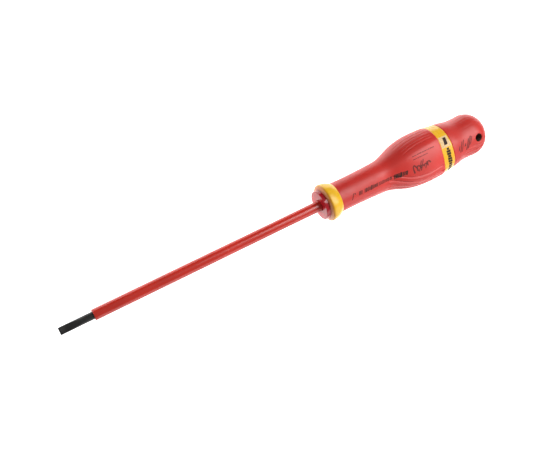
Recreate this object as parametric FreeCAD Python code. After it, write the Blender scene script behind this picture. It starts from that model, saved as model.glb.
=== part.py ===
"""An insulated slotted screwdriver, 4 x 150 mm, with its handle.

The tool's axis is X. The tip points to -X, the handle to +X, and the origin is on the
axis at the shoulder: the front face of the nose bush, where the bare shank ends. +Z is
square to one of the handle's two flats; the tool lies on the other.
Angles about the axis are measured from +Z towards -Y. All sizes are in millimetres.
"""
import FreeCAD, Part
import math
import os

X_AXIS = FreeCAD.Vector(1, 0, 0)

# --- driving dimensions -----------------------------------------------------
# Blade: a round rod, ground to a slotted tip.
shank_length = 150.0
rod_r = 2.0
tip_thickness = 0.8
tip_parallel = 3.0
tip_ground = 14.0
rod_inside_handle = 70.0
wing_span = 8.4
wing_thickness = 1.4
wing_start = 54.0
wing_length = 9.0

# Insulating sleeve on the blade.
bare_tip = 18.0
sleeve_r = 2.95
sleeve_lip = 0.4
sleeve_bead_r = 3.15
sleeve_bead_start = -1.2
sleeve_bead_rise = 0.6
sleeve_root_r = 3.4
sleeve_root_start = 2.8
sleeve_root_end = 24.0

# Nose bush: the hard collar that the sleeve comes out of.
bush_r = 8.15
bush_chamfer = 0.35
bush_spigot_r = 5.0
bush_spigot_end = 18.0

# Guard ring: the finger stop.
ring_start = 2.2
ring_end = 10.05
ring_brow_x = 3.0
ring_brow_r = 10.1
ring_max_r = 10.5
ring_max_x = 3.9
ring_rear_r = 8.5

# Hard core of the handle, from the ring to the waist of the rear grip.
core_neck_r = 6.0
core_neck_end = 38.0
core_body_r = 9.4
core_body_start = 50.0
core_tail_r = 7.6
core_end = 92.0
core_chamfer = 1.0

# Handle stations along the axis.
band_start = 74.2
band_end = 80.8
dome_start = 98.0
handle_end = 109.0
dome_exponent = 2.2
edge_round = 0.5

# Outlines of the grips and the band: (x, radius) on the lobes.
front_grip_outline = (
    (ring_end, 8.4),
    (20.0, 8.3),
    (29.0, 8.5),
    (36.0, 8.75),
    (41.5, 9.3),
    (46.5, 10.9),
    (52.0, 12.75),
    (58.0, 13.95),
    (65.0, 14.5),
    (band_start - edge_round, 14.3),
)
band_outline = ((band_start, 13.9), (77.5, 13.7), (band_end, 13.4))
rear_grip_outline = (
    (band_end + edge_round, 13.3),
    (84.5, 12.9),
    (88.5, 12.1),
    (93.0, 11.75),
    (dome_start, 12.0),
)

# Two broad flats run along the handle, on opposite sides. Each is part of a surface turned
# about an axis far beyond the tool's own, so it is flatter than the round lobes between
# them. A flat's middle lies below the lobes by a drop that grows along the bulb, fades over
# the band and dies out along the rear grip.
flat_angles = (0.0, 180.0)
flat_offset = 18.0
bulb_flat_start = 27.0
bulb_flat_drop = 2.0
band_flat_drop = 1.8
butt_flat_end = 96.0
butt_flat_drop = 0.4

# Hanging hole through the rear grip, square to the tool's axis.
hole_r = 2.25
hole_x = 99.5
hole_angle = 0.0
hole_rim = 0.7

# The blade's two ground flats face this way and its opposite.
blade_angle = -23.0


# --- helpers ----------------------------------------------------------------
def radial(angle, r, x=0.0):
    """The point at that angle about the axis, at radius r and station x."""
    a = math.radians(angle)
    return FreeCAD.Vector(x, -r * math.sin(a), r * math.cos(a))


def rolled(shape, angle):
    """The shape, made facing +Z, turned about the tool's axis to that angle."""
    copy = shape.copy()
    copy.rotate(FreeCAD.Vector(0, 0, 0), X_AXIS, angle)
    return copy


def rod(r, x0, x1):
    """A round bar along the axis."""
    return Part.makeCylinder(r, x1 - x0, FreeCAD.Vector(x0, 0, 0), X_AXIS)


def turned(edges):
    """A solid of revolution about the axis from outline edges in the XZ plane."""
    face = Part.Face(Part.Wire(edges))
    return face.revolve(FreeCAD.Vector(0, 0, 0), X_AXIS, 360)


def polyline(points):
    """Straight edges through (x, radius) points in the XZ plane."""
    places = [FreeCAD.Vector(x, 0, r) for x, r in points]
    return [Part.LineSegment(a, b).toShape() for a, b in zip(places, places[1:])]


def box(x0, x1, y0, y1, z0, z1):
    """An upright block between two corners."""
    return Part.makeBox(x1 - x0, y1 - y0, z1 - z0, FreeCAD.Vector(x0, y0, z0))


def smooth(points):
    """One smooth curve through (x, radius) points in the XZ plane."""
    curve = Part.BSplineCurve()
    curve.interpolate([FreeCAD.Vector(x, 0, r) for x, r in points])
    return curve.toShape()


def arc(start, middle, end):
    """An arc through three (x, radius) points in the XZ plane."""
    places = [FreeCAD.Vector(x, 0, r) for x, r in (start, middle, end)]
    return Part.Arc(*places).toShape()


def tangent_arc(crest, end):
    """The arc to or from a crest, level where it leaves the crest, as (x, radius) points.

    The points are the crest, the middle and the end.
    """
    run = end[0] - crest[0]
    fall = crest[1] - end[1]
    r = (run * run + fall * fall) / (2 * fall)
    half_turn = math.asin(run / r) / 2.0
    middle = (crest[0] + r * math.sin(half_turn), crest[1] - r * (1 - math.cos(half_turn)))
    return crest, middle, end


def with_flats(body, points, drop_at):
    """The body, less what stands proud of its two flats.

    points is the lobes' outline and drop_at gives how far a flat's middle is below it.
    The flats run on a little past both ends of the outline.
    """
    overrun = 2 * edge_round
    before = (points[0][0] - overrun, points[0][1])
    after = (points[-1][0] + overrun, points[-1][1])
    lowered = [(x, r - drop_at(x) + flat_offset) for x, r in (before, *points, after)]
    first, last = lowered[0], lowered[-1]
    far = 4 * bush_r
    outline = polyline([(first[0] - far, 0.0), (first[0] - far, far), (first[0], far), first])
    outline.append(smooth(lowered))
    outline += polyline([last, (last[0], far), (last[0] + far, far), (last[0] + far, 0.0)])
    outline += polyline([(last[0] + far, 0.0), (first[0] - far, 0.0)])
    keeper = turned(outline)
    keeper.translate(FreeCAD.Vector(0, 0, -flat_offset))
    for angle in flat_angles:
        body = body.common(rolled(keeper, angle))
    return body


# --- pieces -----------------------------------------------------------------
def make_blade():
    """The steel rod with its ground tip, and two wings that stop it turning in the core."""
    tip_x = -shank_length
    parallel_x = tip_x + tip_parallel
    ground_x = tip_x + tip_ground
    half = tip_thickness / 2.0
    over = rod_r + 0.1
    sag = 0.35 * (over - half)
    middle_x = (parallel_x + ground_x) / 2.0
    outline = polyline([(tip_x, -half), (tip_x, half), (parallel_x, half)])
    outline.append(arc((parallel_x, half), (middle_x, half + sag), (ground_x, over)))
    outline += polyline(
        [(ground_x, over), (rod_inside_handle, over), (rod_inside_handle, -over), (ground_x, -over)]
    )
    outline.append(arc((ground_x, -over), (middle_x, -half - sag), (parallel_x, -half)))
    outline += polyline([(parallel_x, -half), (tip_x, -half)])
    keystone = Part.Face(Part.Wire(outline)).extrude(FreeCAD.Vector(0, 2 * over, 0))
    keystone.translate(FreeCAD.Vector(0, -over, 0))
    bar = rod(rod_r, tip_x, rod_inside_handle).common(keystone)
    wings = box(
        wing_start, wing_start + wing_length,
        -wing_span / 2.0, wing_span / 2.0,
        -wing_thickness / 2.0, wing_thickness / 2.0,
    )
    return rolled(bar.fuse(wings).removeSplitter(), blade_angle)


def make_blade_sleeve():
    """The insulating tube: a bead where it meets the bush, and a thick root in the handle."""
    front_x = bare_tip - shank_length
    outline = polyline(
        [
            (front_x, rod_r),
            (front_x, sleeve_r - sleeve_lip),
            (front_x + sleeve_lip, sleeve_r),
            (sleeve_bead_start, sleeve_r),
            (sleeve_bead_start + sleeve_bead_rise, sleeve_bead_r),
            (sleeve_root_start, sleeve_bead_r),
            (sleeve_root_start, sleeve_root_r),
            (sleeve_root_end, sleeve_root_r),
            (sleeve_root_end, rod_r),
            (front_x, rod_r),
        ]
    )
    return turned(outline)


def make_nose_bush(sleeve):
    """The collar at the nose, with a spigot into the core."""
    outline = polyline(
        [
            (0.0, 0.0),
            (0.0, bush_r - bush_chamfer),
            (bush_chamfer, bush_r),
            (ring_end, bush_r),
            (ring_end, bush_spigot_r),
            (bush_spigot_end, bush_spigot_r),
            (bush_spigot_end, 0.0),
            (0.0, 0.0),
        ]
    )
    return turned(outline).cut(sleeve).cut(rod(rod_r, -1.0, bush_spigot_end + 1.0))


def make_guard_ring():
    """The finger stop: a bead with a cone in front, that runs down to the neck behind."""
    crest = (ring_max_x, ring_max_r)
    front = (ring_start, bush_r)
    brow = (ring_brow_x, ring_brow_r)
    rear = (ring_end, ring_rear_r)
    outline = polyline([front, brow])
    outline += [arc(*reversed(tangent_arc(crest, brow))), arc(*tangent_arc(crest, rear))]
    outline += polyline([rear, (ring_end, bush_r), front])
    return turned(outline)


def core_envelope():
    """The core's outer shape, which every grip is bored out by."""
    outline = polyline(
        [
            (ring_end, 0.0),
            (ring_end, core_neck_r),
            (core_neck_end, core_neck_r),
            (core_body_start, core_body_r),
            (band_end, core_body_r),
            (band_end, core_tail_r),
            (core_end - core_chamfer, core_tail_r),
            (core_end, core_tail_r - core_chamfer),
            (core_end, 0.0),
            (ring_end, 0.0),
        ]
    )
    return turned(outline)


def make_handle_core(envelope, blade, sleeve, bush):
    """The hard core, moulded around the rod, the sleeve's root and the bush's spigot."""
    spigot = rod(bush_spigot_r, ring_end - 1.0, bush_spigot_end)
    return envelope.cut(spigot).cut(sleeve).cut(blade)


def make_front_grip(envelope):
    """The neck and the bulb, rounded over at the rear edge."""
    neck_x, neck_r = front_grip_outline[0]
    last_x, last_r = front_grip_outline[-1]
    edge_r = last_r - edge_round
    bend = edge_round * math.sin(math.radians(45.0))
    outline = [smooth(front_grip_outline)]
    outline.append(arc((last_x, last_r), (last_x + bend, edge_r + bend), (band_start, edge_r)))
    outline += polyline([(band_start, edge_r), (band_start, 0.0), (neck_x, 0.0), (neck_x, neck_r)])

    def drop_at(x):
        return bulb_flat_drop * (x - bulb_flat_start) / (band_start - bulb_flat_start)

    return with_flats(turned(outline), front_grip_outline, drop_at).cut(envelope)


def make_marking_band(envelope):
    """The band between the grips, which carries the flats over from one to the other."""
    first, last = band_outline[0], band_outline[-1]
    outline = [smooth(band_outline)]
    outline += polyline([last, (last[0], 0.0), (first[0], 0.0), first])

    def drop_at(x):
        along = (x - band_start) / (band_end - band_start)
        return band_flat_drop + (butt_flat_drop - band_flat_drop) * along

    return with_flats(turned(outline), band_outline, drop_at).cut(envelope)


def dome_points():
    """Points on the rounded end, from the last of the rear grip's outline to its tip."""
    steps = 7
    base_r = rear_grip_outline[-1][1]
    places = []
    for i in range(1, steps):
        turn = math.radians(90.0 * i / steps)
        x = dome_start + (handle_end - dome_start) * math.sin(turn) ** (2.0 / dome_exponent)
        places.append((x, base_r * math.cos(turn) ** (2.0 / dome_exponent)))
    return places + [(handle_end, 0.0)]


def make_hanging_hole():
    """The cutter for the hanging hole, opened out at both rims."""
    reach = 20.0
    centre = FreeCAD.Vector(hole_x, 0, 0)
    direction = radial(hole_angle, 1.0)
    cutter = Part.makeCylinder(hole_r, 2 * reach, centre - direction * reach, direction)
    mouth_r = rear_grip_outline[-1][1]
    for side in (1, -1):
        inner = centre + direction * (side * (mouth_r - hole_rim))
        rim = Part.makeCone(hole_r, hole_r + 4 * hole_rim, 4 * hole_rim, inner, direction * side)
        cutter = cutter.fuse(rim)
    return cutter


def make_rear_grip(envelope):
    """The rear grip: waisted, rounded at its end, with the hanging hole through it."""
    first_x, first_r = rear_grip_outline[0]
    edge_r = first_r - edge_round
    bend = edge_round * math.sin(math.radians(45.0))
    front_edge = arc((band_end, edge_r), (first_x - bend, edge_r + bend), (first_x, first_r))
    side = Part.BSplineCurve()
    side.interpolate(
        Points=[FreeCAD.Vector(x, 0, r) for x, r in rear_grip_outline + tuple(dome_points())],
        InitialTangent=FreeCAD.Vector(1, 0, -0.05),
        FinalTangent=FreeCAD.Vector(0, 0, -1),
    )
    outline = [front_edge, side.toShape()]
    outline += polyline([(handle_end, 0.0), (band_end, 0.0), (band_end, edge_r)])

    def drop_at(x):
        return butt_flat_drop * (butt_flat_end - x) / (butt_flat_end - band_end)

    body = with_flats(turned(outline), rear_grip_outline, drop_at)
    return body.cut(envelope).cut(make_hanging_hole())


def export(shape, node):
    """Writes one piece as a STEP file under its node's name."""
    solid = shape.Solids[0] if len(shape.Solids) == 1 else shape
    solid.exportStep("parts/" + node + ".step")


def main():
    os.makedirs("parts", exist_ok=True)
    blade = make_blade()
    sleeve = make_blade_sleeve()
    bush = make_nose_bush(sleeve)
    envelope = core_envelope()
    pieces = {
        "blade": blade,
        "blade_sleeve": sleeve,
        "nose_bush": bush,
        "guard_ring": make_guard_ring(),
        "handle_core": make_handle_core(envelope, blade, sleeve, bush),
        "front_grip": make_front_grip(envelope),
        "marking_band": make_marking_band(envelope),
        "rear_grip": make_rear_grip(envelope),
    }
    for node, shape in pieces.items():
        export(shape, node)


main()
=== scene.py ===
import math
import random

import bmesh
import bpy
import numpy as np
from mathutils import Matrix, Vector


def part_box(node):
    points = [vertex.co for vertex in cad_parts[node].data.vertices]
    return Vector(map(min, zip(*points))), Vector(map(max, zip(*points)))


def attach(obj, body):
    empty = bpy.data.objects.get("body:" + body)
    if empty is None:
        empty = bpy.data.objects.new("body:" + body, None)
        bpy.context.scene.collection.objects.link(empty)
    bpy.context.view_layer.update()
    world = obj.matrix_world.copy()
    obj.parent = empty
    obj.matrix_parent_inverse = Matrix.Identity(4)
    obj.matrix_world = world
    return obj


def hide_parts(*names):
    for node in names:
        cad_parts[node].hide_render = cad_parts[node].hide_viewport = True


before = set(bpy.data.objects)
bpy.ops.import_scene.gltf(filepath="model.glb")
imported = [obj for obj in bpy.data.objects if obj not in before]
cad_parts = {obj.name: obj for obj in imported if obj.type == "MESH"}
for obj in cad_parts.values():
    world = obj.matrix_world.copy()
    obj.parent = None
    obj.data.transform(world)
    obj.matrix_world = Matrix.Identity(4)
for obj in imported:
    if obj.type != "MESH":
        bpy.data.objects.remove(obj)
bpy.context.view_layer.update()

MM = 0.001

# ---------------------------------------------------------------------------
# Sizes in millimetres. X runs along the tool, from the tip to the handle's end;
# angles about the axis are measured from +Z towards -Y, in degrees.
# ---------------------------------------------------------------------------


def span(node):
    """A CAD node's first and last X, in millimetres."""
    low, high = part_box(node)
    return low.x / MM, high.x / MM


TIP_X, ROD_END = span("blade")
SLEEVE_START, SLEEVE_ROOT_END = span("blade_sleeve")
BUSH_START, BUSH_END = span("nose_bush")
RING_START, RING_END = span("guard_ring")
GRIP_START, BAND_START = span("front_grip")
BAND_END, HANDLE_END = span("rear_grip")
DOME_START = HANDLE_END - 11.0
DOME_EXPONENT = 2.2
EDGE_ROUND = 0.5
BAND_EDGE_ROUND = 0.35

ROD_R = 2.0
SLEEVE_R = 2.95
SLEEVE_BEAD_START = -1.2
SLEEVE_BEAD_RISE = 0.6
SLEEVE_BEAD_R = 3.15
SLEEVE_ROOT_R = 3.4
SLEEVE_ROOT_START = 2.8
BUSH_R = 8.15
BUSH_SPIGOT_R = 5.0
RING_BROW = (3.0, 10.1)
RING_CREST = (3.9, 10.5)
RING_REAR_R = 8.5
BLADE_ANGLE = -23.0
TIP_THICKNESS = 0.8
TIP_PARALLEL = 3.0
TIP_GROUND = 14.0
CORE_NECK_R = 6.0
CORE_NECK_END = 38.0
CORE_BODY_R = 9.4
CORE_BODY_START = 50.0
CORE_TAIL_R = 7.6
CORE_END = 92.0
CORE_CHAMFER = 1.0
GRIP_MOUTH_R = 7.4
BAND_INNER_EDGE_R = 11.0
REAR_INNER_EDGE_R = 10.0

FRONT_GRIP_OUTLINE = (
    (GRIP_START, 8.4),
    (20.0, 8.3),
    (29.0, 8.5),
    (36.0, 8.75),
    (41.5, 9.3),
    (46.5, 10.9),
    (52.0, 12.75),
    (58.0, 13.95),
    (65.0, 14.5),
    (BAND_START - EDGE_ROUND, 14.3),
)
BAND_OUTLINE = ((BAND_START, 13.9), (77.5, 13.7), (BAND_END, 13.4))
REAR_GRIP_OUTLINE = (
    (BAND_END + EDGE_ROUND, 13.3),
    (84.5, 12.9),
    (88.5, 12.1),
    (93.0, 11.75),
    (DOME_START, 12.0),
)
FLAT_ANGLES = (0.0, 180.0)
PRINT_ANGLE = 0.0
FLAT_OFFSET = 18.0
BULB_FLAT_START = 27.0
BULB_FLAT_DROP = 2.0
BAND_FLAT_DROP = 1.8
BUTT_FLAT_END = 96.0
BUTT_FLAT_DROP = 0.4
CREASE_SOFTNESS = 0.5
BAND_CREASE_SOFTNESS = 0.35

HOLE_R = 2.25
HOLE_X = 99.5
HOLE_ANGLE = 0.0
HOLE_ROUND = 0.7
# The painted shade in the hanging hole is a thin dark sleeve just inside the bore.
SHADE_SLEEVE_WALL = 0.06
SHADE_SLEEVE_BELOW_MOUTH = 0.75

# Grip lines: grooves along the two lobes. The first lobe's are deep, the second's faint.
RIB_ANGLES = (78.0, 258.0)
RIB_DEPTHS = (0.8, 0.16)
RIB_FADES = (1.7, 0.8)
RIB_PITCH = 2.5
RIB_WIDTH = 1.1
RIBS_EACH_SIDE = 5
BULB_RIB_STARTS = (38.0, 49.0)
BULB_RIB_END_GAP = 1.0
REAR_RIB_STARTS = (87.0, 87.0)
REAR_RIB_END = 106.5
REAR_RIB_SHARE = 0.35


# ---------------------------------------------------------------------------
# Geometry helpers
# ---------------------------------------------------------------------------
def radial(angle, r, x=0.0):
    """The point at that angle about the axis, radius r and station x, in millimetres."""
    a = math.radians(angle)
    return Vector((x, -r * math.sin(a), r * math.cos(a)))


def spline(points):
    """A smooth function through (x, y) points: a natural cubic spline."""
    xs, ys = (np.array(v, float) for v in zip(*points))
    n = len(xs)
    h = np.diff(xs)
    system = np.eye(n)
    right = np.zeros(n)
    for i in range(1, n - 1):
        system[i, i - 1 : i + 2] = (h[i - 1], 2 * (h[i - 1] + h[i]), h[i])
        right[i] = 6 * ((ys[i + 1] - ys[i]) / h[i] - (ys[i] - ys[i - 1]) / h[i - 1])
    bend = np.linalg.solve(system, right)

    def at(x):
        i = int(np.clip(np.searchsorted(xs, x) - 1, 0, n - 2))
        a, b = xs[i + 1] - x, x - xs[i]
        cubic = (bend[i] * a**3 + bend[i + 1] * b**3) / (6 * h[i])
        return float(
            cubic
            + (ys[i] / h[i] - bend[i] * h[i] / 6) * a
            + (ys[i + 1] / h[i] - bend[i + 1] * h[i] / 6) * b
        )

    return at


def soft_min(a, b, softness):
    """The smaller of two numbers, blended where they are close."""
    mix = max(softness - abs(a - b), 0.0) / softness
    return min(a, b) - mix * mix * softness / 4


def flat_radius(lobe_r, drop, angle, softness=CREASE_SOFTNESS):
    """The handle's radius at an angle: a circle on the lobes, cut by two nearly flat faces."""
    r = lobe_r
    apothem = lobe_r - drop
    for middle in FLAT_ANGLES:
        d = math.radians((angle - middle + 180.0) % 360.0 - 180.0)
        if abs(d) > math.radians(85.0):
            continue
        inside = (apothem + FLAT_OFFSET) ** 2 - (FLAT_OFFSET * math.sin(d)) ** 2
        r = soft_min(r, math.sqrt(inside) - FLAT_OFFSET * math.cos(d), softness)
    return r


front_outline = spline(FRONT_GRIP_OUTLINE)
band_outline = spline(BAND_OUTLINE)
rear_outline = spline(REAR_GRIP_OUTLINE)


def front_drop(x):
    return BULB_FLAT_DROP * (x - BULB_FLAT_START) / (BAND_START - BULB_FLAT_START)


def band_drop(x):
    along = (x - BAND_START) / (BAND_END - BAND_START)
    return BAND_FLAT_DROP + (BUTT_FLAT_DROP - BAND_FLAT_DROP) * along


def rear_drop(x):
    return BUTT_FLAT_DROP * (BUTT_FLAT_END - x) / (BUTT_FLAT_END - BAND_END)


def front_surface(x, angle):
    return flat_radius(front_outline(x), front_drop(x), angle)


def band_surface(x, angle):
    return flat_radius(band_outline(x), band_drop(x), angle, BAND_CREASE_SOFTNESS)


def rear_surface(x, angle):
    return flat_radius(rear_outline(x), rear_drop(x), angle)


def new_object(name, bm, smooth_angle=35.0):
    """A mesh object in metres from a bmesh in millimetres, smooth but for its sharp edges."""
    bmesh.ops.remove_doubles(bm, verts=bm.verts, dist=1e-4)
    bmesh.ops.recalc_face_normals(bm, faces=bm.faces)
    for face in bm.faces:
        face.smooth = True
    limit = math.radians(smooth_angle)
    for edge in bm.edges:
        if len(edge.link_faces) == 2 and edge.calc_face_angle(0.0) > limit:
            edge.smooth = False
    bmesh.ops.scale(bm, vec=(MM, MM, MM), verts=bm.verts)
    mesh = bpy.data.meshes.new(name)
    bm.to_mesh(mesh)
    bm.free()
    obj = bpy.data.objects.new(name, mesh)
    bpy.context.scene.collection.objects.link(obj)
    return obj


def skin_rings(bm, rings, closed=False):
    """Quads between rings of points with equal counts. A ring of one point is a pole."""
    made = [[bm.verts.new(p) for p in ring] for ring in rings]
    pairs = list(zip(made, made[1:]))
    if closed:
        pairs.append((made[-1], made[0]))
    for a, b in pairs:
        count = max(len(a), len(b))
        for i in range(count):
            j = (i + 1) % count
            if len(a) == 1:
                bm.faces.new((a[0], b[i], b[j]))
            elif len(b) == 1:
                bm.faces.new((a[i], b[0], a[j]))
            else:
                bm.faces.new((a[i], b[i], b[j], a[j]))
    return made


def lathe(outline, segments):
    """Rings for a turned piece, from (x, radius) points. A radius of nothing is a pole."""
    rings = []
    for x, r in outline:
        if r <= 0.0:
            rings.append([Vector((x, 0, 0))])
        else:
            rings.append([radial(360.0 * i / segments, r, x) for i in range(segments)])
    return rings


def rounded(corner, before, after, r, steps=5):
    """Points on a fillet of radius r at an outline's corner."""
    c, p, n = Vector(corner), Vector(before), Vector(after)
    u, v = (p - c).normalized(), (n - c).normalized()
    half = u.angle(v) / 2
    reach = r / math.tan(half)
    centre = c + (u + v).normalized() * (r / math.sin(half))
    start, end = c + u * reach - centre, c + v * reach - centre
    turn = start.angle_signed(end)
    points = []
    for i in range(steps + 1):
        a = -turn * i / steps
        points.append(centre + Matrix.Rotation(a, 2) @ start)
    return [tuple(q) for q in points]


def fillet_outline(points, radii, closed=True):
    """An (x, radius) outline with each corner rounded by its own radius."""
    out = []
    n = len(points)
    for i, (corner, r) in enumerate(zip(points, radii)):
        if r <= 0 or (not closed and i in (0, n - 1)):
            out.append(corner)
        else:
            out += rounded(corner, points[i - 1], points[(i + 1) % n], r)
    return out


def refine(outline, step):
    """The outline with its long straight runs divided."""
    out = [outline[0]]
    for a, b in zip(outline, outline[1:]):
        parts = max(1, math.ceil(math.dist(a, b) / step))
        for k in range(1, parts + 1):
            out.append((a[0] + (b[0] - a[0]) * k / parts, a[1] + (b[1] - a[1]) * k / parts))
    return out


# ---------------------------------------------------------------------------
# Materials
# ---------------------------------------------------------------------------
class Nodes:
    """A material's node tree, with short calls for the nodes used here."""

    def __init__(self, name):
        self.material = bpy.data.materials.new(name)
        self.material.use_nodes = True
        self.tree = self.material.node_tree
        self.shader = self.tree.nodes["Principled BSDF"]
        self.place = self.add("ShaderNodeTexCoord").outputs["Object"]

    def add(self, kind, **values):
        node = self.tree.nodes.new(kind)
        for key, value in values.items():
            setattr(node, key, value)
        return node

    def link(self, a, b):
        self.tree.links.new(a, b)

    def stretched(self, scale):
        node = self.add("ShaderNodeMapping")
        node.inputs["Scale"].default_value = scale
        self.link(self.place, node.inputs["Vector"])
        return node.outputs["Vector"]

    def noise(self, scale, detail=4.0, rough=0.5, vector=None):
        node = self.add("ShaderNodeTexNoise")
        node.inputs["Scale"].default_value = scale
        node.inputs["Detail"].default_value = detail
        node.inputs["Roughness"].default_value = rough
        self.link(vector or self.place, node.inputs["Vector"])
        return node.outputs["Fac"]

    def ramp(self, fac, stops):
        node = self.add("ShaderNodeValToRGB")
        elements = node.color_ramp.elements
        while len(elements) < len(stops):
            elements.new(0.5)
        for element, (position, colour) in zip(elements, stops):
            element.position = position
            element.color = (*colour, 1.0)
        self.link(fac, node.inputs["Fac"])
        return node.outputs["Color"]

    def range(self, fac, low, high, out_low, out_high):
        node = self.add("ShaderNodeMapRange")
        limits = {"From Min": low, "From Max": high, "To Min": out_low, "To Max": out_high}
        for key, value in limits.items():
            node.inputs[key].default_value = value
        self.link(fac, node.inputs["Value"])
        return node.outputs["Result"]

    def bump(self, height, strength, distance, onto=None):
        node = self.add("ShaderNodeBump")
        node.inputs["Strength"].default_value = strength
        node.inputs["Distance"].default_value = distance
        self.link(height, node.inputs["Height"])
        if onto is not None:
            self.link(onto, node.inputs["Normal"])
        return node.outputs["Normal"]


UNEVEN_SHADE = 0.12


def moulded_plastic(name, colour, rough, grain=0.03, scatter=0.0, specular=0.5):
    """Moulded plastic: a slightly uneven colour, fine grain and uneven gloss."""
    n = Nodes(name)
    darker = tuple(c * (1 - UNEVEN_SHADE) for c in colour)
    lighter = tuple(min(1.0, c * (1 + UNEVEN_SHADE)) for c in colour)
    cloud = n.noise(45.0, detail=3.0)
    n.link(n.ramp(cloud, ((0.3, darker), (0.55, colour), (0.75, lighter))), n.shader.inputs["Base Color"])
    wear = n.noise(160.0, detail=5.0, rough=0.6)
    n.link(n.range(wear, 0.3, 0.7, *rough), n.shader.inputs["Roughness"])
    fine = n.noise(2600.0, detail=2.0)
    n.link(n.bump(fine, grain, 0.0002), n.shader.inputs["Normal"])
    n.shader.inputs["IOR"].default_value = 1.5
    n.shader.inputs["Specular IOR Level"].default_value = specular
    if scatter:
        n.shader.inputs["Subsurface Weight"].default_value = scatter
        n.shader.inputs["Subsurface Radius"].default_value = (1.0, 0.25, 0.2)
        n.shader.inputs["Subsurface Scale"].default_value = 0.002
    return n.material


def paint_front_shade(material, start, end, shade_tint):
    """Paints shade on a piece's front edge: a dark orange-red tint that stands for the shadow there and
    for the bush's red reflected in it.
    """
    tree = material.node_tree
    shader = tree.nodes["Principled BSDF"]
    socket = shader.inputs["Base Color"]
    body = socket.links[0].from_socket
    place = next(node for node in tree.nodes if node.type == "TEX_COORD").outputs["Object"]
    split = tree.nodes.new("ShaderNodeSeparateXYZ")
    tree.links.new(place, split.inputs["Vector"])
    across = tree.nodes.new("ShaderNodeMapRange")
    for key, value in (("From Min", start * MM), ("From Max", end * MM)):
        across.inputs[key].default_value = value
    tree.links.new(split.outputs["X"], across.inputs["Value"])
    mix = tree.nodes.new("ShaderNodeMix")
    mix.data_type = "RGBA"
    tree.links.new(across.outputs["Result"], mix.inputs["Factor"])
    mix.inputs["A"].default_value = (*shade_tint, 1.0)
    tree.links.new(body, mix.inputs["B"])
    tree.links.new(mix.outputs["Result"], socket)


def oxide_steel(name):
    """Dark oxidised steel with fine grinding lines along the rod."""
    n = Nodes(name)
    lines = n.noise(900.0, detail=4.0, vector=n.stretched((0.12, 1.0, 1.0)))
    cloud = n.noise(220.0, detail=4.0)
    n.link(
        n.ramp(cloud, ((0.3, (0.030, 0.030, 0.029)), (0.7, (0.052, 0.052, 0.050)))),
        n.shader.inputs["Base Color"],
    )
    n.shader.inputs["Metallic"].default_value = 0.6
    n.link(n.range(lines, 0.3, 0.7, 0.34, 0.5), n.shader.inputs["Roughness"])
    n.link(n.bump(lines, 0.15, 0.0001), n.shader.inputs["Normal"])
    return n.material


def ink(name, colour):
    """A thin film of printing ink, uneven where the pad pressed lightly."""
    n = Nodes(name)
    patch = n.noise(1400.0, detail=3.0)
    lighter = tuple(min(1.0, c * 1.5 + 0.004) for c in colour)
    n.link(n.ramp(patch, ((0.35, colour), (0.75, lighter))), n.shader.inputs["Base Color"])
    n.link(n.range(patch, 0.3, 0.7, 0.55, 0.75), n.shader.inputs["Roughness"])
    n.shader.inputs["Specular IOR Level"].default_value = 0.3
    return n.material


GRIP = moulded_plastic("grip_red", (0.60, 0.030, 0.022), rough=(0.36, 0.46), grain=0.10, scatter=0.08)
SLEEVE = moulded_plastic("sleeve_red", (0.60, 0.027, 0.014), rough=(0.22, 0.28), grain=0.02, specular=0.6)
BUSH = moulded_plastic("bush_crimson", (0.43, 0.012, 0.020), rough=(0.12, 0.18), grain=0.02)
RING = moulded_plastic("guard_yellow", (0.87, 0.50, 0.014), rough=(0.26, 0.36), grain=0.04, scatter=0.1)
BAND = moulded_plastic("band_yellow", (0.90, 0.50, 0.03), rough=(0.22, 0.32), grain=0.03, scatter=0.1)
CORE = moulded_plastic("core_plastic", (0.35, 0.03, 0.03), rough=(0.4, 0.5))
# Painted shade: a dark brown colour for the inside of the hanging hole, standing for the shadow in the
# bore.
HOLE_SHADE = moulded_plastic("hole_painted_shade", (0.13, 0.085, 0.066), rough=(0.22, 0.3))
STEEL = oxide_steel("tip_steel")
INK = ink("print_black", (0.032, 0.012, 0.008))
FAINT_INK = ink("print_faint", (0.11, 0.017, 0.015))
# A flat pale colour laid over part of the band, on the side that faces the camera.
PALE_FIELD = ink("band_pale_field", (0.70, 0.48, 0.25))
# Painted shade and painted reflection: the guard ring's front cone is darkened to orange-red, standing
# for its shadow and the bush's red seen in it.
paint_front_shade(RING, RING_START + 0.1, RING_CREST[0] + 0.3, (0.50, 0.09, 0.008))


# ---------------------------------------------------------------------------
# Pieces
# ---------------------------------------------------------------------------
def finish_piece(obj, material, slot, *nodes):
    """Gives a piece its material and ties it to the frame."""
    obj.data.materials.clear()
    obj.data.materials.append(material)
    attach(obj, "root")
    if nodes:
        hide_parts(*nodes)
    return obj


def handle_angles():
    """Angles round the handle: close together on the ribbed lobes, wider on the flats."""
    half, fine, wide = 64.0, 224, 26
    angles = []
    for lobe in RIB_ANGLES:
        angles += [lobe - half + 2 * half * i / fine for i in range(fine)]
        angles += [lobe + half + (180.0 - 2 * half) * i / wide for i in range(wide)]
    return angles


def rib_depth(angle, r, lobe_r, x, starts, end):
    """How deep the grip grooves are at a place. They run out at both ends and at the flats."""
    depth = 0.0
    for middle, full, fade_over, start in zip(RIB_ANGLES, RIB_DEPTHS, RIB_FADES, starts):
        across = math.radians((angle - middle + 180.0) % 360.0 - 180.0) * r
        k = round(across / RIB_PITCH)
        off = abs(across - k * RIB_PITCH) / (RIB_WIDTH / 2)
        if abs(k) > RIBS_EACH_SIDE or off >= 1.0:
            continue
        ends = min((x - start - 0.5 * abs(k)) / 4.0, (end - x) / 2.0, 1.0)
        beside_flat = 1.0 - (lobe_r - r) / fade_over
        fade = min(ends, beside_flat)
        if fade > 0.0:
            depth = full * math.cos(off * math.pi / 2) * math.sqrt(fade)
    return depth


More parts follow.
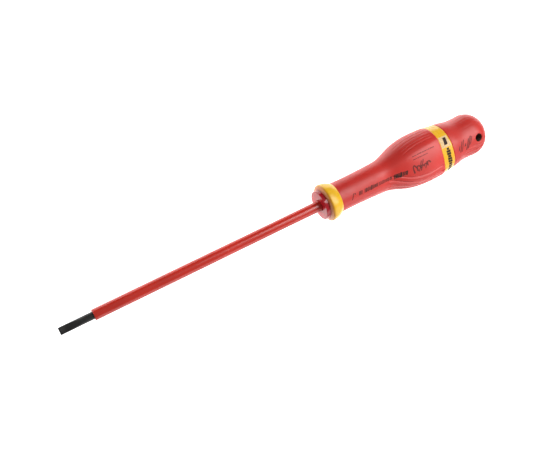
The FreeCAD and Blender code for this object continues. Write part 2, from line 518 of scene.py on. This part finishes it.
def make_front_grip():
    """The neck and the bulb, with soft creases beside its flats and ribbed lobes."""
    angles = handle_angles()
    rings = []
    end_x, end_r = FRONT_GRIP_OUTLINE[-1]
    steps = 170
    for i in range(steps + 1):
        x = GRIP_START + (end_x - GRIP_START) * i / steps
        ring = []
        for a in angles:
            r = front_surface(x, a)
            groove = rib_depth(a, r, front_outline(x), x, BULB_RIB_STARTS, end_x - BULB_RIB_END_GAP)
            ring.append(radial(a, r - groove, x))
        rings.append(ring)
    for i in range(1, 6):
        turn = math.radians(18.0 * i)
        x = end_x + EDGE_ROUND * math.sin(turn)
        fall = EDGE_ROUND * (1 - math.cos(turn))
        rings.append([radial(a, front_surface(end_x, a) - fall, x) for a in angles])
    inside = (
        (BAND_START, BAND_INNER_EDGE_R), (BAND_START, CORE_BODY_R), (CORE_BODY_START, CORE_BODY_R),
        (CORE_NECK_END, CORE_NECK_R), (GRIP_START, CORE_NECK_R), (GRIP_START, GRIP_MOUTH_R),
    )
    rings += [[radial(a, r, x) for a in angles] for x, r in inside]
    bm = bmesh.new()
    skin_rings(bm, rings, closed=True)
    return finish_piece(new_object("front_grip_shell", bm), GRIP, "grip_red", "front_grip")


def make_marking_band():
    """The yellow band, which carries the flats over from the bulb to the rear grip."""
    angles = handle_angles()
    rings = []
    steps = 16
    last_x = BAND_END - BAND_EDGE_ROUND
    for i in range(steps + 1):
        x = BAND_START + (last_x - BAND_START) * i / steps
        rings.append([radial(a, band_surface(x, a), x) for a in angles])
    for i in range(1, 6):
        turn = math.radians(18.0 * i)
        fall = BAND_EDGE_ROUND * (1 - math.cos(turn))
        x = last_x + BAND_EDGE_ROUND * math.sin(turn)
        rings.append([radial(a, band_surface(last_x, a) - fall, x) for a in angles])
    inside = (
        (BAND_END, BAND_INNER_EDGE_R), (BAND_END, CORE_BODY_R),
        (BAND_START, CORE_BODY_R), (BAND_START, BAND_INNER_EDGE_R),
    )
    rings += [[radial(a, r, x) for a in angles] for x, r in inside]
    bm = bmesh.new()
    skin_rings(bm, rings, closed=True)
    return finish_piece(new_object("marking_band_shell", bm), BAND, "band_yellow", "marking_band")


def rear_profile():
    """(x, lobe radius) along the rear grip, from its front edge over the dome to the pole."""
    first_x, first_r = REAR_GRIP_OUTLINE[0]
    points = []
    for i in range(5):
        turn = math.radians(22.5 * i)
        x = BAND_END + EDGE_ROUND * (1 - math.cos(turn))
        points.append((x, first_r - EDGE_ROUND * (1 - math.sin(turn))))
    steps = 44
    for i in range(1, steps + 1):
        x = first_x + (DOME_START - first_x) * i / steps
        points.append((x, rear_outline(x)))
    base_r = REAR_GRIP_OUTLINE[-1][1]
    steps = 46
    for i in range(1, steps):
        turn = math.radians(90.0 * i / steps)
        x = DOME_START + (HANDLE_END - DOME_START) * math.sin(turn) ** (2 / DOME_EXPONENT)
        points.append((x, base_r * math.cos(turn) ** (2 / DOME_EXPONENT)))
    return points


def hole_cutter():
    """The hanging hole's bore as a fine cylinder."""
    bm = bmesh.new()
    reach, count = 16.0, 64
    direction = radial(HOLE_ANGLE, 1.0)
    across = Vector((1, 0, 0))
    other = direction.cross(across)
    centre = Vector((HOLE_X, 0, 0))
    rings = []
    for end in (-1, 1):
        ring = []
        for i in range(count):
            a = 2 * math.pi * i / count
            spoke = across * math.cos(a) + other * math.sin(a)
            ring.append(centre + direction * reach * end + spoke * HOLE_R)
        rings.append(ring)
    rings = [[centre - direction * reach]] + rings + [[centre + direction * reach]]
    skin_rings(bm, rings)
    return new_object("hole_cutter", bm)


def make_rear_grip():
    """The waisted rear grip with ribbed lobes, its dome and the hanging hole."""
    angles = handle_angles()
    rings = []
    profile = rear_profile()
    direction = radial(HOLE_ANGLE, 1.0)
    for i, (x, lobe_r) in enumerate(profile):
        before = profile[max(i - 1, 0)]
        after = profile[min(i + 1, len(profile) - 1)]
        along = Vector((after[0] - before[0], after[1] - before[1])).normalized()
        ring = []
        for a in angles:
            r = flat_radius(lobe_r, rear_drop(x), a) if x < DOME_START else lobe_r
            groove = rib_depth(a, r, lobe_r, x, REAR_RIB_STARTS, REAR_RIB_END)
            depth = REAR_RIB_SHARE * groove if r > 5.0 else 0.0
            point = radial(a, r, x)
            away = point - Vector((HOLE_X, 0, 0))
            lateral = (away - direction * away.dot(direction)).length
            lip = HOLE_R + HOLE_ROUND - lateral
            if 0 < lip:
                depth += HOLE_ROUND - math.sqrt(max(0.0, HOLE_ROUND**2 - min(lip, HOLE_ROUND) ** 2))
            ring.append(radial(a, r - depth * along.x, x + depth * along.y))
        rings.append(ring)
    rings.append([Vector((HANDLE_END, 0, 0))])
    inner = [
        (BAND_END, REAR_INNER_EDGE_R),
        (BAND_END, CORE_TAIL_R),
        (CORE_END - CORE_CHAMFER, CORE_TAIL_R),
        (CORE_END, CORE_TAIL_R - CORE_CHAMFER),
    ]
    inner_rings = [[radial(a, r, x) for a in angles] for x, r in reversed(inner)]
    bm = bmesh.new()
    skin_rings(bm, [[Vector((CORE_END, 0, 0))]] + inner_rings + rings)
    obj = new_object("rear_grip_shell", bm)
    cutter = hole_cutter()
    cut = obj.modifiers.new("hole", "BOOLEAN")
    cut.object = cutter
    cut.operation = "DIFFERENCE"
    cut.solver = "EXACT"
    apply_modifiers(obj)
    bpy.data.objects.remove(cutter)
    mark_sharp(obj, 40.0)
    return finish_piece(obj, GRIP, "grip_red", "rear_grip")


def dome_radius(x):
    """The rear grip's lobe radius at a station on or before the dome."""
    if x <= DOME_START:
        return rear_outline(x)
    along = (x - DOME_START) / (HANDLE_END - DOME_START)
    return REAR_GRIP_OUTLINE[-1][1] * (1 - along**DOME_EXPONENT) ** (1 / DOME_EXPONENT)


def make_hole_shade():
    """A thin dark sleeve of painted shade in the hanging hole, trimmed just below both of its mouths."""
    count = 48
    outer, inner = HOLE_R + 0.01, HOLE_R - SHADE_SLEEVE_WALL
    direction = radial(HOLE_ANGLE, 1.0)
    other = direction.cross(Vector((1, 0, 0)))
    rings = []
    for r, side in ((outer, 1), (outer, -1), (inner, -1), (inner, 1)):
        ring = []
        for i in range(count):
            turn = 2 * math.pi * i / count
            x, y = HOLE_X + HOLE_R * math.cos(turn), HOLE_R * math.sin(turn)
            height = math.sqrt(dome_radius(x) ** 2 - y * y) - SHADE_SLEEVE_BELOW_MOUTH
            foot = Vector((HOLE_X + r * math.cos(turn), 0, 0)) + other * (r * math.sin(turn))
            ring.append(foot + direction * (side * height))
        rings.append(ring)
    bm = bmesh.new()
    skin_rings(bm, rings, closed=True)
    return finish_piece(new_object("painted_hole_shade", bm), HOLE_SHADE, "core_plastic")


def apply_modifiers(obj):
    """Bakes an object's modifiers into its mesh."""
    bpy.context.view_layer.update()
    graph = bpy.context.evaluated_depsgraph_get()
    mesh = bpy.data.meshes.new_from_object(obj.evaluated_get(graph))
    obj.modifiers.clear()
    obj.data = mesh


def mark_sharp(obj, angle):
    """Smooth shading, with edges sharper than the angle kept crisp."""
    bm = bmesh.new()
    bm.from_mesh(obj.data)
    limit = math.radians(angle)
    for face in bm.faces:
        face.smooth = True
    for edge in bm.edges:
        edge.smooth = not (len(edge.link_faces) == 2 and edge.calc_face_angle(0.0) > limit)
    bm.to_mesh(obj.data)
    bm.free()


def make_blade():
    """The rod with its ground tip: two flats that run out into the round."""
    start, ground = TIP_X, TIP_X + TIP_GROUND
    parallel = TIP_X + TIP_PARALLEL
    half = TIP_THICKNESS / 2
    arc_points, flat_points = 18, 12

    def half_thickness(x):
        if x <= parallel:
            return half
        t = min(1.0, (x - parallel) / (ground - parallel))
        return half + (ROD_R - half) * (1.25 * t - 0.25 * t * t)

    stations = [(start, 0.82), (start + 0.06, 0.94), (start + 0.16, 1.0)]
    stations += [(start + 0.16 + (parallel - start - 0.16) * i / 6, 1.0) for i in range(1, 7)]
    stations += [(parallel + (ground - parallel) * i / 30, 1.0) for i in range(1, 31)]
    stations += [(ground + (ROD_END - ground) * i / 60, 1.0) for i in range(1, 61)]
    rings = []
    for x, shrink in stations:
        h = min(half_thickness(x), ROD_R - 0.004) * shrink
        r = ROD_R if shrink == 1.0 else ROD_R - 0.4 * (1 - shrink)
        edge = math.asin(min(1.0, h / r))
        ring = []
        for side in (0, 1):
            turn = math.pi * side
            for i in range(arc_points):
                a = turn - edge + 2 * edge * i / arc_points
                ring.append((r * math.cos(a), r * math.sin(a)))
            y0, y1 = r * math.cos(turn + edge), r * math.cos(turn + math.pi - edge)
            z0 = r * math.sin(turn + edge)
            for i in range(flat_points):
                ring.append((y0 + (y1 - y0) * i / flat_points, z0))
        rings.append([Vector((x, y, z)) for y, z in ring])
    roll = Matrix.Rotation(math.radians(BLADE_ANGLE), 3, "X")
    rings = [[Vector((TIP_X, 0, 0))]] + rings + [[Vector((ROD_END, 0, 0))]]
    bm = bmesh.new()
    skin_rings(bm, [[roll @ p for p in ring] for ring in rings])
    return finish_piece(new_object("blade_rod", bm, 24.0), STEEL, "tip_steel", "blade")


def make_sleeve():
    """The insulating tube, with a rounded lip at its bare end and a bead at the bush."""
    bore = ROD_R + 0.01
    outline = fillet_outline(
        [
            (SLEEVE_START, bore),
            (SLEEVE_START, SLEEVE_R),
            (SLEEVE_BEAD_START, SLEEVE_R),
            (SLEEVE_BEAD_START + SLEEVE_BEAD_RISE, SLEEVE_BEAD_R),
            (SLEEVE_ROOT_START, SLEEVE_BEAD_R),
            (SLEEVE_ROOT_START, SLEEVE_ROOT_R),
            (SLEEVE_ROOT_END, SLEEVE_ROOT_R),
            (SLEEVE_ROOT_END, bore),
        ],
        (0.1, 0.3, 0.3, 0.3, 0, 0.1, 0, 0),
    )
    bm = bmesh.new()
    skin_rings(bm, lathe(refine(outline, 4.0), 72), closed=True)
    return finish_piece(new_object("blade_sleeve_tube", bm), SLEEVE, "sleeve_red", "blade_sleeve")


def make_bush():
    """The nose bush: a round collar with a flat face and a softened edge."""
    bore = SLEEVE_BEAD_R + 0.02
    outline = fillet_outline(
        [
            (BUSH_START, bore),
            (BUSH_START, BUSH_R),
            (RING_END, BUSH_R),
            (RING_END, BUSH_SPIGOT_R),
            (BUSH_END, BUSH_SPIGOT_R),
            (BUSH_END, bore),
        ],
        (0.15, 0.4, 0, 0, 0, 0),
    )
    bm = bmesh.new()
    skin_rings(bm, lathe(refine(outline, 2.5), 128), closed=True)
    return finish_piece(new_object("nose_bush_collar", bm), BUSH, "bush_crimson", "nose_bush")


def tangent_arc(crest, end, steps):
    """(x, radius) points of an arc that is level at its crest and runs down to an end."""
    run, fall = end[0] - crest[0], crest[1] - end[1]
    r = (run * run + fall * fall) / (2 * fall)
    full = math.asin(run / r)
    turns = [full * i / steps for i in range(steps + 1)]
    return [(crest[0] + r * math.sin(a), crest[1] - r * (1 - math.cos(a))) for a in turns]


def make_ring():
    """The guard ring: a bead with a cone in front, that curves down to the neck behind."""
    inner = BUSH_R + 0.01
    brow = tangent_arc(RING_CREST, RING_BROW, 10)
    rear = tangent_arc(RING_CREST, (RING_END, RING_REAR_R), 16)
    cone = [(RING_START, inner), (RING_START + 0.1, inner + 0.24)]
    outline = cone + brow[::-1] + rear[1:] + [(RING_END, inner)]
    bm = bmesh.new()
    skin_rings(bm, lathe(outline, 144), closed=True)
    return finish_piece(new_object("guard_ring_body", bm), RING, "guard_yellow", "guard_ring")


# --- printed marks ----------------------------------------------------------
INK_PROUD = 0.02
INK_SUNK = 0.06


def surface_point(surface, x, angle, lift=0.0):
    """A point on a surface, lifted along its normal."""
    p = radial(angle, surface(x, angle), x)
    ahead = radial(angle, surface(x + 0.05, angle), x + 0.05) - p
    beside = radial(angle + 0.2, surface(x, angle + 0.2), x) - p
    normal = ahead.cross(beside).normalized()
    if normal.dot(Vector((0, p.y, p.z))) < 0:
        normal = -normal
    return p + normal * lift


def add_patch(bm, surface, corners, columns=2, rows=2, lift=INK_PROUD):
    """A thin raised patch of ink between four corners, each (x, mm round the handle)."""
    (x0, a0), (x1, a1), (x2, a2), (x3, a3) = corners
    top, bottom = {}, {}
    for i in range(columns + 1):
        for j in range(rows + 1):
            u, v = i / columns, j / rows
            x = (x0 * (1 - u) + x1 * u) * (1 - v) + (x3 * (1 - u) + x2 * u) * v
            a = (a0 * (1 - u) + a1 * u) * (1 - v) + (a3 * (1 - u) + a2 * u) * v
            top[i, j] = bm.verts.new(surface_point(surface, x, a, lift))
            bottom[i, j] = bm.verts.new(surface_point(surface, x, a, -INK_SUNK))
    for i in range(columns):
        for j in range(rows):
            quad = ((i, j), (i + 1, j), (i + 1, j + 1), (i, j + 1))
            bm.faces.new([top[k] for k in quad])
            bm.faces.new([bottom[k] for k in reversed(quad)])
    edge = [(i, 0) for i in range(columns)] + [(columns, j) for j in range(rows)]
    edge += [(i, rows) for i in range(columns, 0, -1)] + [(0, j) for j in range(rows, 0, -1)]
    for k, n in zip(edge, edge[1:] + edge[:1]):
        bm.faces.new((top[k], bottom[k], bottom[n], top[n]))


def add_bar(bm, surface, x, angle, height, width, lean=0.0):
    """One upright bar: height is across the axis in millimetres, lean is its slope."""
    degrees = math.degrees(height / 2 / surface(x, angle))
    shift = lean * height / 2
    low, high = angle - degrees, angle + degrees
    corners = (
        (x - width / 2 + shift, low), (x + width / 2 + shift, low),
        (x + width / 2 - shift, high), (x - width / 2 - shift, high),
    )
    add_patch(bm, surface, corners, math.ceil(width / 0.6), math.ceil(height / 0.35))


def make_neck_print():
    """Rows of plain slanting bars along the neck and the front of the bulb."""
    bm = bmesh.new()
    rng = random.Random(11)
    add_bar(bm, front_surface, 16.7, PRINT_ANGLE + 3.0, 3.4, 0.42, 0.5)
    add_bar(bm, front_surface, 18.4, PRINT_ANGLE - 5.0, 0.8, 0.6)
    groups = (
        (20.7, 22.9, 2.5, 0.45), (24.3, 32.6, 2.4, 0.55),
        (33.6, 41.4, 2.0, 0.28), (43.2, 50.8, 2.9, 0.85),
    )
    for start, end, height, stroke in groups:
        x = start
        while x < end:
            width = stroke * (0.7 + 0.6 * rng.random())
            tall = height * (0.72 + 0.28 * rng.random())
            add_bar(bm, front_surface, x + width / 2, PRINT_ANGLE + 1.0, tall, width, 0.3)
            x += width + 0.3
    return finish_piece(new_object("neck_print", bm), INK, "print_black")


def make_fine_print():
    """Two lines of very small marks beside the bulb's larger ones."""
    bm = bmesh.new()
    rng = random.Random(5)
    for angle, start, end in ((PRINT_ANGLE - 31.0, 55.5, 69.0), (PRINT_ANGLE - 23.5, 55.5, 65.0)):
        x = start
        while x < end:
            length = 0.5 + 0.9 * rng.random()
            add_bar(bm, front_surface, x + length / 2, angle, 0.38, length)
            x += length + 0.35
    return finish_piece(new_object("fine_print", bm), FAINT_INK, "print_black")


def add_scribble(bm, surface, start, end, height, turns, width):
    """A loose up-and-down pen line, which stands for a signature-like mark."""
    steps = turns * 14
    places = []
    for i in range(steps + 1):
        t = i / steps
        turn = 2 * math.pi * turns * t
        swing = math.sin(turn) * (0.6 + 0.4 * math.cos(4.4 * t + 0.4))
        x = start + (end - start) * t + 0.5 * math.cos(turn) + 0.4 * swing
        angle = PRINT_ANGLE + math.degrees(0.5 * height * swing / surface(x, PRINT_ANGLE))
        places.append((x, angle))
    for (xa, aa), (xb, ab) in zip(places, places[1:]):
        r = surface(xa, aa)
        run, rise = xb - xa, math.radians(ab - aa) * r
        size = math.hypot(run, rise)
        sx = -rise / size * width / 2
        sa = math.degrees(run / size * width / 2 / r)
        corners = ((xa - sx, aa - sa), (xb - sx, ab - sa), (xb + sx, ab + sa), (xa + sx, aa + sa))
        add_patch(bm, surface, corners, 1, 1)


def make_bulb_print():
    """A pen line and a few slanting strokes over it, on the bulb."""
    bm = bmesh.new()
    add_scribble(bm, front_surface, 53.5, 64.5, 5.2, 5, 0.7)
    for x, turn, height in ((58.4, -2.0, 5.4), (59.7, -3.0, 5.8), (62.0, 1.0, 3.4)):
        add_bar(bm, front_surface, x, PRINT_ANGLE + turn, height, 0.55, 0.48)
    return finish_piece(new_object("bulb_print", bm), FAINT_INK, "print_black")


def make_butt_print():
    """A few slanting strokes between the band and the hanging hole."""
    bm = bmesh.new()
    strokes = (
        (84.9, 3.0, 2.4, 0.6), (86.6, 1.0, 5.4, 0.6), (87.9, 0.0, 6.0, 0.5), (89.7, 2.0, 1.4, 0.9),
        (91.3, 3.0, 5.8, 0.7), (92.7, 0.0, 6.4, 0.7), (94.0, -3.0, 4.2, 0.5),
    )
    for x, turn, height, width in strokes:
        add_bar(bm, rear_surface, x, PRINT_ANGLE + turn, height, width, 0.48)
    return finish_piece(new_object("butt_print", bm), FAINT_INK, "print_black")


BAND_PATCH = (-44.0, -17.0)
BAND_MARK_ANGLE = -31.5
BAND_BARS_START = -11.5


def make_band_patch():
    """The pale field on the band."""
    bm = bmesh.new()
    low, high = BAND_PATCH
    x0, x1 = BAND_START + 0.35, BAND_END - 0.75
    corners = ((x0, low), (x1, low), (x1, high), (x0, high))
    add_patch(bm, band_surface, corners, 8, 16, INK_PROUD / 2)
    return finish_piece(new_object("band_patch", bm), PALE_FIELD, "band_yellow")


def make_band_print():
    """A bold leaning mark on the pale field and a row of bars round the band."""
    bm = bmesh.new()
    middle = (BAND_START + BAND_END) / 2
    r = band_surface(middle, 0.0)
    add_bar(bm, band_surface, middle + 0.1, BAND_MARK_ANGLE, 4.2, 2.0, 0.12)
    add_bar(bm, band_surface, middle + 0.2, BAND_BARS_START, 1.3, 1.3)
    for i in range(1, 11):
        angle = BAND_BARS_START + math.degrees(1.45 * i / r)
        add_bar(bm, band_surface, middle + 0.2, angle, 1.3, 2.4 if i % 3 else 1.9)
    return finish_piece(new_object("band_print", bm), INK, "print_black")


# ---------------------------------------------------------------------------
# Studio: camera, floor, light
# ---------------------------------------------------------------------------
CAMERA_ROLL = -23.0
CAMERA_TILT = 18.0
IMAGE_SLOPE = 25.766
CAMERA_DISTANCE = 486.8
FOCAL_PIXELS = 928.0
IMAGE_WIDTH = 540.0
SENSOR = 36.0
AIM_X = -30.75
AIM_RISE = 2.43
FLOOR_REACH = (-3000.0, 3000.0)
BOUNCE_ALONG = (-320.0, 160.0)
BOUNCE_ACROSS = (-260.0, 45.0)
FLOOR_GLOW = 1.0
BOUNCE_GLOW = 1.35
FLOOR_GAP = 0.05
CARD_DISTANCE = 260.0
CARD_HALF_LENGTH = 300.0
CARD_HALF_HEIGHT = 110.0


def view_axes():
    """Unit vectors of the view: the tool's axis, image-down square to it, and out to the eye."""
    facing = radial(CAMERA_ROLL, 1.0)
    return Vector((1, 0, 0)), radial(CAMERA_ROLL + 90.0, 1.0), facing


def make_camera():
    """A camera that looks down at the tool, with the tip nearer than the handle."""
    axis, down, facing = view_axes()
    tilt, slope = math.radians(CAMERA_TILT), math.radians(IMAGE_SLOPE)
    back = facing * math.cos(tilt) - axis * math.sin(tilt)
    along = axis * math.cos(tilt) + facing * math.sin(tilt)
    right = along * math.cos(slope) + down * math.sin(slope)
    up = along * math.sin(slope) - down * math.cos(slope)
    data = bpy.data.cameras.new("camera")
    data.sensor_width = SENSOR
    data.lens = FOCAL_PIXELS / IMAGE_WIDTH * SENSOR
    data.clip_start = 0.01
    data.clip_end = 20.0
    camera = bpy.data.objects.new("camera", data)
    aim = axis * AIM_X + up * AIM_RISE
    place = (aim + back * CAMERA_DISTANCE) * MM
    camera.matrix_world = Matrix.Translation(place) @ Matrix((right, up, back)).transposed().to_4x4()
    bpy.context.scene.collection.objects.link(camera)
    bpy.context.scene.camera = camera


def make_floor():
    """A pale floor under the guard ring and the bulb's lower flat, which both rest on it.

    The camera sees the floor. Reflections and bounced light come from a smaller sheet on it.
    """
    ring_x, ring_r = RING_CREST
    stations = [50.0 + i for i in range(24)]
    bulb_x = max(stations, key=lambda x: (front_surface(x, 180.0) - ring_r) / (x - ring_x))
    bulb_z = -front_surface(bulb_x, 180.0)
    slope = math.atan2(-ring_r - bulb_z, bulb_x - ring_x)
    table = Matrix.Translation((bulb_x, 0, bulb_z - FLOOR_GAP)) @ Matrix.Rotation(slope, 4, "Y")
    floor = make_sheet("floor", table, FLOOR_REACH, FLOOR_REACH, FLOOR_GLOW)
    floor.visible_diffuse = False
    floor.visible_glossy = False
    bounce = make_sheet("bounce_sheet", table, BOUNCE_ALONG, BOUNCE_ACROSS, BOUNCE_GLOW)
    bounce.visible_camera = False


def make_sheet(name, table, along, across, glow):
    """A flat white glowing sheet on the table, between two X and two Y stations."""
    bm = bmesh.new()
    parts = 16
    rows = []
    for i in range(parts + 1):
        x = along[0] + (along[1] - along[0]) * i / parts
        ys = [across[0] + (across[1] - across[0]) * j / parts for j in range(parts + 1)]
        rows.append([bm.verts.new(table @ Vector((x, y, 0.0))) for y in ys])
    for a, b in zip(rows, rows[1:]):
        for j in range(parts):
            bm.faces.new((a[j], a[j + 1], b[j + 1], b[j]))
    sheet = new_object(name, bm)
    n = Nodes(name + "_white")
    n.shader.inputs["Base Color"].default_value = (0.9, 0.9, 0.9, 1)
    n.shader.inputs["Roughness"].default_value = 0.8
    n.shader.inputs["Emission Color"].default_value = (1, 1, 1, 1)
    n.shader.inputs["Emission Strength"].default_value = glow
    sheet.data.materials.append(n.material)
    sheet.visible_shadow = False
    return sheet


def make_area(name, way, distance, size, power):
    """A soft light aimed at the tool. way is its direction as (along, image-down, out)."""
    axis, down, facing = view_axes()
    data = bpy.data.lights.new(name, "AREA")
    data.shape = "RECTANGLE"
    data.size, data.size_y = size
    data.energy = power
    light = bpy.data.objects.new(name, data)
    direction = (axis * way[0] + down * way[1] + facing * way[2]).normalized()
    light.location = direction * distance
    light.rotation_euler = direction.to_track_quat("Z", "Y").to_euler()
    bpy.context.scene.collection.objects.link(light)


def make_dark_card():
    """A black card beside the tool, out of view, that keeps the glare off its upper side."""
    axis, down, facing = view_axes()
    way = (facing * 0.42 - down).normalized()
    across = axis.cross(way)
    centre = axis * 20.0 + way * CARD_DISTANCE
    bm = bmesh.new()
    grid = []
    for v in (-1, 0, 1):
        middle = centre + across * (v * CARD_HALF_HEIGHT)
        grid.append([bm.verts.new(middle + axis * (u * CARD_HALF_LENGTH)) for u in (-1, 0, 1)])
    for a, b in zip(grid, grid[1:]):
        for i in (0, 1):
            bm.faces.new((a[i], a[i + 1], b[i + 1], b[i]))
    card = new_object("dark_card", bm)
    n = Nodes("card_black")
    n.shader.inputs["Base Color"].default_value = (0.01, 0.01, 0.01, 1)
    n.shader.inputs["Roughness"].default_value = 0.9
    card.data.materials.append(n.material)
    card.visible_camera = False


def make_studio():
    make_camera()
    make_floor()
    make_dark_card()
    make_area("key", (0.57, 0.09, 0.82), 0.5, (0.50, 0.28), 2.5)
    make_area("fill", (0.35, 0.93, 0.10), 0.8, (0.9, 0.5), 2.4)
    world = bpy.data.worlds.new("world")
    world.use_nodes = True
    background = world.node_tree.nodes["Background"]
    background.inputs["Color"].default_value = (1, 1, 1, 1)
    background.inputs["Strength"].default_value = 0.25
    bpy.context.scene.world = world
    bpy.context.scene.view_settings.view_transform = "Standard"


# ---------------------------------------------------------------------------
make_studio()
make_blade()
make_sleeve()
make_bush()
make_ring()
make_front_grip()
make_marking_band()
make_rear_grip()
make_hole_shade()
make_neck_print()
make_fine_print()
make_bulb_print()
make_butt_print()
make_band_patch()
make_band_print()

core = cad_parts["handle_core"]
core.data.materials.clear()
core.data.materials.append(CORE)
